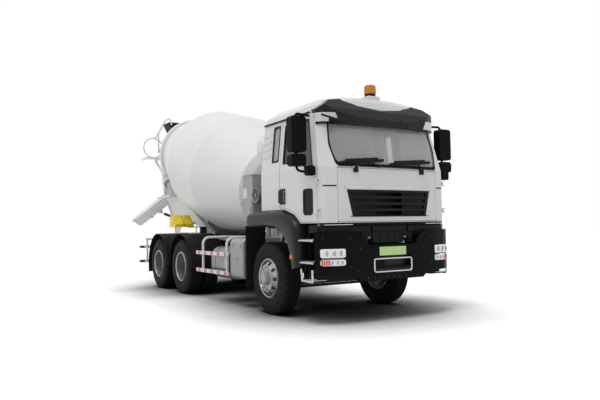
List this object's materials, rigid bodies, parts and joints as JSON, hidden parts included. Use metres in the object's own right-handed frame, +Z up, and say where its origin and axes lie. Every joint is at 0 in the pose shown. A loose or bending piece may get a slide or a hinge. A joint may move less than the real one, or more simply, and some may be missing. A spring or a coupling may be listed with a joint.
{
  "type": "concrete mixer truck",
  "caption": "Three-axle concrete mixer truck with tilting cab, inclined turning drum on rollers, feed hopper, swinging folding discharge chute, steered front wheels and twin rear wheels",
  "frame": {"origin": "on the ground below the middle of the bounding box", "axes": "X forward along the truck, Y to its left, Z up"},
  "size_m": [9.6136, 2.9, 4.0683],
  "materials": {
    "cab_paint": "gloss white",
    "mixer_paint": "satin white",
    "frame_paint": "satin dark grey",
    "dark_plastic": "fine grained black",
    "tyre_rubber": "worn black",
    "wheel_silver": "satin silver",
    "clear_glass": "lightly tinted",
    "lamp_glass": "clear lens",
    "amber_dome": "amber",
    "red_lens": "red",
    "tank_metal": "brushed",
    "box_grey": "satin grey",
    "chock_yellow": "yellow",
    "cast_metal": "rough dark",
    "bright_steel": "bright",
    "cab_fabric": "dark woven"
  },
  "bodies": {
    "chassis": {"frame_rails": "frame_paint", "front_bumper": "dark_plastic", "front_lamps": "lamp_glass", "step_irons": "bright_steel", "front_axle": "cast_metal", "engine_block": "cast_metal", "drive_axles": "cast_metal", "bogie_springs": "cast_metal", "front_fenders": "dark_plastic", "rear_fenders": "dark_plastic", "tanks": "tank_metal", "equipment_boxes": "box_grey", "guard_frames": "mixer_paint", "tail_lamps": "red_lens", "mixer_subframe": "mixer_paint", "front_pedestal": "mixer_paint", "drum_gearbox": "cast_metal", "rear_pedestal": "mixer_paint", "feed_hopper": "dark_plastic", "discharge_collector": "mixer_paint", "rear_portal": "mixer_paint", "water_tank": "mixer_paint", "wheel_chocks": "chock_yellow"},
    "steering_left": {"knuckle_left": "cast_metal"},
    "steering_right": {"knuckle_right": "cast_metal"},
    "steering_link": {"tie_rod": "cast_metal"},
    "cab": {"cab_shell": "cab_paint", "cab_roof": "cab_paint", "cab_glass": "clear_glass", "roof_visor": "dark_plastic", "beacon": "amber_dome", "cab_interior": "cab_fabric"},
    "front_flap": {"front_panel": "cab_paint", "grille": "dark_plastic"},
    "door_left": {"door_left_panel": "cab_paint", "door_left_glass": "clear_glass", "door_left_mirror": "dark_plastic"},
    "door_right": {"door_right_panel": "cab_paint", "door_right_glass": "clear_glass", "door_right_mirror": "dark_plastic"},
    "mixing_drum": {"drum": "mixer_paint"},
    "roller_l": {"roller_left": "bright_steel"},
    "roller_r": {"roller_right": "bright_steel"},
    "swivel": {"chute_swivel": "mixer_paint"},
    "main_chute": {"chute": "mixer_paint"},
    "fold_chute": {"chute_extension": "mixer_paint"},
    "jack_barrel": {"chute_jack_barrel": "frame_paint"},
    "jack_rod": {"chute_jack_rod": "bright_steel"},
    "wheel_front_left": {"tyre_front_left": "tyre_rubber", "rim_front_left": "wheel_silver"},
    "wheel_front_right": {"tyre_front_right": "tyre_rubber", "rim_front_right": "wheel_silver"},
    "wheel_mid_left": {"tyre_mid_left": "tyre_rubber", "rim_mid_left": "wheel_silver"},
    "wheel_mid_right": {"tyre_mid_right": "tyre_rubber", "rim_mid_right": "wheel_silver"},
    "wheel_rear_left": {"tyre_rear_left": "tyre_rubber", "rim_rear_left": "wheel_silver"},
    "wheel_rear_right": {"tyre_rear_right": "tyre_rubber", "rim_rear_right": "wheel_silver"}
  },
  "joints": [
    {"name": "spin_front_left", "type": "hinge", "parent": "steering_left", "child": "wheel_front_left", "pos_m": [3.29585, 1.024, 0.542], "axis": [0, 1, 0], "continuous": true},
    {"name": "spin_front_right", "type": "hinge", "parent": "steering_right", "child": "wheel_front_right", "pos_m": [3.29585, -1.024, 0.542], "axis": [0, 1, 0], "continuous": true},
    {"name": "spin_mid_left", "type": "hinge", "parent": "chassis", "child": "wheel_mid_left", "pos_m": [-0.30415, 0.915, 0.542], "axis": [0, 1, 0], "continuous": true},
    {"name": "spin_mid_right", "type": "hinge", "parent": "chassis", "child": "wheel_mid_right", "pos_m": [-0.30415, -0.915, 0.542], "axis": [0, 1, 0], "continuous": true},
    {"name": "spin_rear_left", "type": "hinge", "parent": "chassis", "child": "wheel_rear_left", "pos_m": [-1.70415, 0.915, 0.542], "axis": [0, 1, 0], "continuous": true},
    {"name": "spin_rear_right", "type": "hinge", "parent": "chassis", "child": "wheel_rear_right", "pos_m": [-1.70415, -0.915, 0.542], "axis": [0, 1, 0], "continuous": true},
    {"name": "steer_left", "type": "hinge", "parent": "chassis", "child": "steering_left", "pos_m": [3.29585, 0.77, 0.542], "axis": [0, 0, 1], "range_deg": [-32, 32]},
    {"name": "steer_right", "type": "hinge", "parent": "chassis", "child": "steering_right", "pos_m": [3.29585, -0.77, 0.542], "axis": [0, 0, 1], "range_deg": [-32, 32]},
    {"name": "steer_link", "type": "hinge", "parent": "steering_left", "child": "steering_link", "pos_m": [3.08085, 0.77, 0.358], "axis": [0, 0, 1], "range_deg": [-32, 32]},
    {"name": "drum_spin", "type": "hinge", "parent": "chassis", "child": "mixing_drum", "pos_m": [1.56585, 0, 2.018], "axis": [-0.9668, 0, 0.2554], "continuous": true},
    {"name": "roller_left_spin", "type": "hinge", "parent": "chassis", "child": "roller_l", "pos_m": [-2.88188, 0.59245, 2.40882], "axis": [-0.9668, 0, 0.2554], "continuous": true},
    {"name": "roller_right_spin", "type": "hinge", "parent": "chassis", "child": "roller_r", "pos_m": [-2.88188, -0.59245, 2.40882], "axis": [-0.9668, 0, 0.2554], "continuous": true},
    {"name": "cab_tilt", "type": "hinge", "parent": "chassis", "child": "cab", "pos_m": [4.66585, 0, 1.12], "axis": [0, 1, 0], "range_deg": [0, 55]},
    {"name": "flap_lift", "type": "hinge", "parent": "cab", "child": "front_flap", "pos_m": [4.79585, 0, 2.09], "axis": [0, -1, 0], "range_deg": [0, 80]},
    {"name": "door_left_swing", "type": "hinge", "parent": "cab", "child": "door_left", "pos_m": [4.63085, 1.14, 2.1], "axis": [0, 0, -1], "range_deg": [0, 70]},
    {"name": "door_right_swing", "type": "hinge", "parent": "cab", "child": "door_right", "pos_m": [4.63085, -1.14, 2.1], "axis": [0, 0, 1], "range_deg": [0, 70]},
    {"name": "chute_swing", "type": "hinge", "parent": "chassis", "child": "swivel", "pos_m": [-3.65415, 0, 2], "axis": [0, 0, 1], "range_deg": [-71, 34]},
    {"name": "chute_tilt", "type": "hinge", "parent": "swivel", "child": "main_chute", "pos_m": [-3.75226, -0.08529, 2.26358], "axis": [-0.6561, 0.7547, 0], "range_deg": [-8, 14]},
    {"name": "chute_fold", "type": "hinge", "parent": "main_chute", "child": "fold_chute", "pos_m": [-4.61624, -0.83633, 1.52015], "axis": [0.6561, -0.7547, 0], "range_deg": [0, 180]},
    {"name": "jack_turn", "type": "hinge", "parent": "swivel", "child": "jack_barrel", "pos_m": [-3.76736, -0.09841, 1.58], "axis": [-0.6561, 0.7547, 0], "range_deg": [-4.66, 8]},
    {"name": "jack_slide", "type": "slide", "parent": "jack_barrel", "child": "jack_rod", "axis": [-0.7113, -0.6184, 0.3341], "range_m": [-0.0919, 0.1593]}
  ],
  "couplings": [
    {"joint": "steer_right", "follows": "steer_left", "ratio": 1},
    {"joint": "steer_link", "follows": "steer_left", "ratio": -1},
    {"joint": "roller_left_spin", "follows": "drum_spin", "ratio": -7.0167},
    {"joint": "roller_right_spin", "follows": "drum_spin", "ratio": -7.0167},
    {"joint": "jack_turn", "follows": "chute_tilt", "ratio": 0.5573},
    {"joint": "jack_slide", "follows": "chute_tilt", "m_per_rad": 0.6436}
  ]
}
